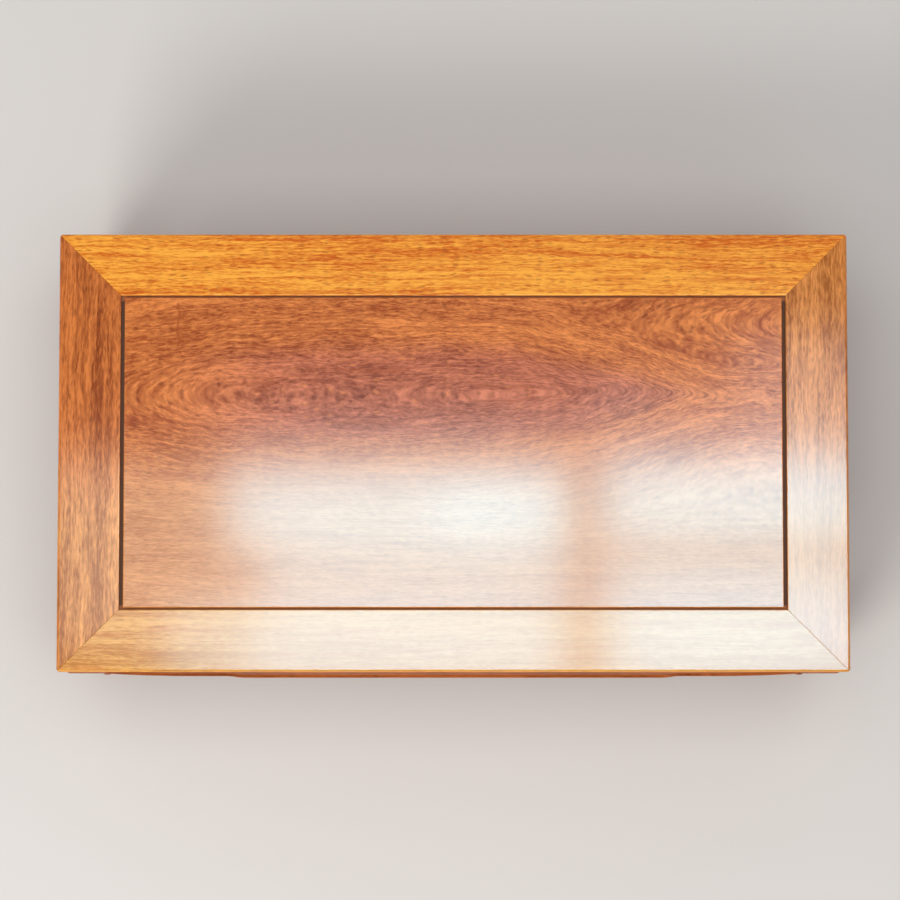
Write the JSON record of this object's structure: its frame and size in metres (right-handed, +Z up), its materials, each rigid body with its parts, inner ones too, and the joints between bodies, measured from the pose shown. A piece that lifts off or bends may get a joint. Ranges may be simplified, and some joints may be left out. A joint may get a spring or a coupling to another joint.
{
  "type": "flower stand",
  "caption": "Low rectangular hardwood flower stand: mitred frame with floating panel, narrow waist, flared bellied aprons and bulging legs with inward hoof feet.",
  "frame": {"origin": "on the floor, under the centre of the top", "axes": "+X along the length of the top, +Y towards the back, +Z up; the front faces -Y"},
  "size_m": [0.6098, 0.3428, 0.15],
  "materials": {
    "panel_wood": "polished red-brown rosewood, flame figure along the length",
    "rail_wood": "polished golden-orange rosewood, straight grain along the length",
    "stile_wood": "polished brown-orange rosewood with ribbon stripes across the stand",
    "base_wood": "polished red-brown rosewood",
    "inner_wood": "planed, unpolished hardwood"
  },
  "bodies": {
    "root": {"top_panel": "panel_wood", "top_rail_front": "rail_wood", "top_rail_back": "rail_wood", "top_stile_left": "stile_wood", "top_stile_right": "stile_wood", "waist_front": "base_wood", "waist_back": "base_wood", "waist_left": "base_wood", "waist_right": "base_wood", "apron_front": "base_wood", "apron_back": "base_wood", "apron_left": "base_wood", "apron_right": "base_wood", "leg_front_left": "base_wood", "leg_front_right": "base_wood", "leg_back_left": "base_wood", "leg_back_right": "base_wood", "batten_1": "inner_wood", "batten_2": "inner_wood", "batten_3": "inner_wood"}
  },
  "joints": []
}
